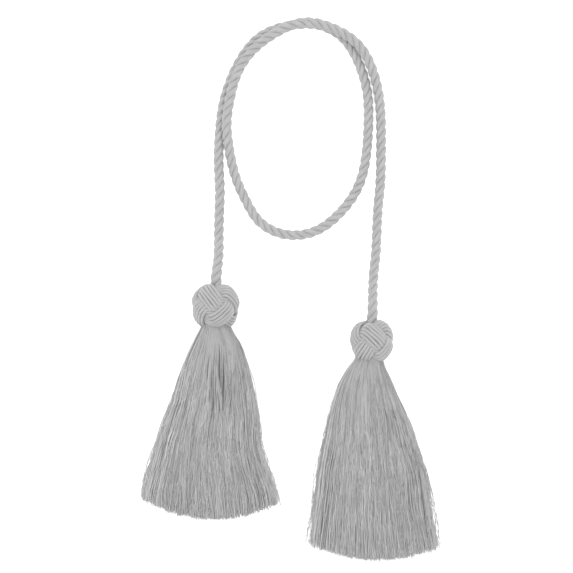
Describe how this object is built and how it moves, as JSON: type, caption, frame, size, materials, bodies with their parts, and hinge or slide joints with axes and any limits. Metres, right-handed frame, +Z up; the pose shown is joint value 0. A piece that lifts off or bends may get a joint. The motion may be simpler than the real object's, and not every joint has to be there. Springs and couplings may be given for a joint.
{
  "type": "curtain tieback tassel",
  "caption": "Twisted rope tieback laid in a long loop, with a woven ball knot and a full, spread tassel at each end.",
  "frame": {"origin": "On the surface it lies on, under the middle of the box round the two knots and their skirts.", "axes": "+X towards the right tassel, across both tassels; +Y from the tassels towards the top of the rope's loop; +Z up from the surface it lies on."},
  "size_m": [0.1739, 0.3146, 0.0253],
  "materials": {
    "rope_yarn": "lustrous light grey yarn",
    "knot_left_cord": "lustrous light grey cord",
    "knot_right_cord": "lustrous light grey cord",
    "skirt_left_thread": "silky mid grey thread",
    "skirt_right_thread": "silky mid grey thread"
  },
  "bodies": {
    "root": {"rope": "rope_yarn", "knot_left": "knot_left_cord", "knot_right": "knot_right_cord", "skirt_left": "skirt_left_thread", "skirt_right": "skirt_right_thread"}
  },
  "joints": []
}
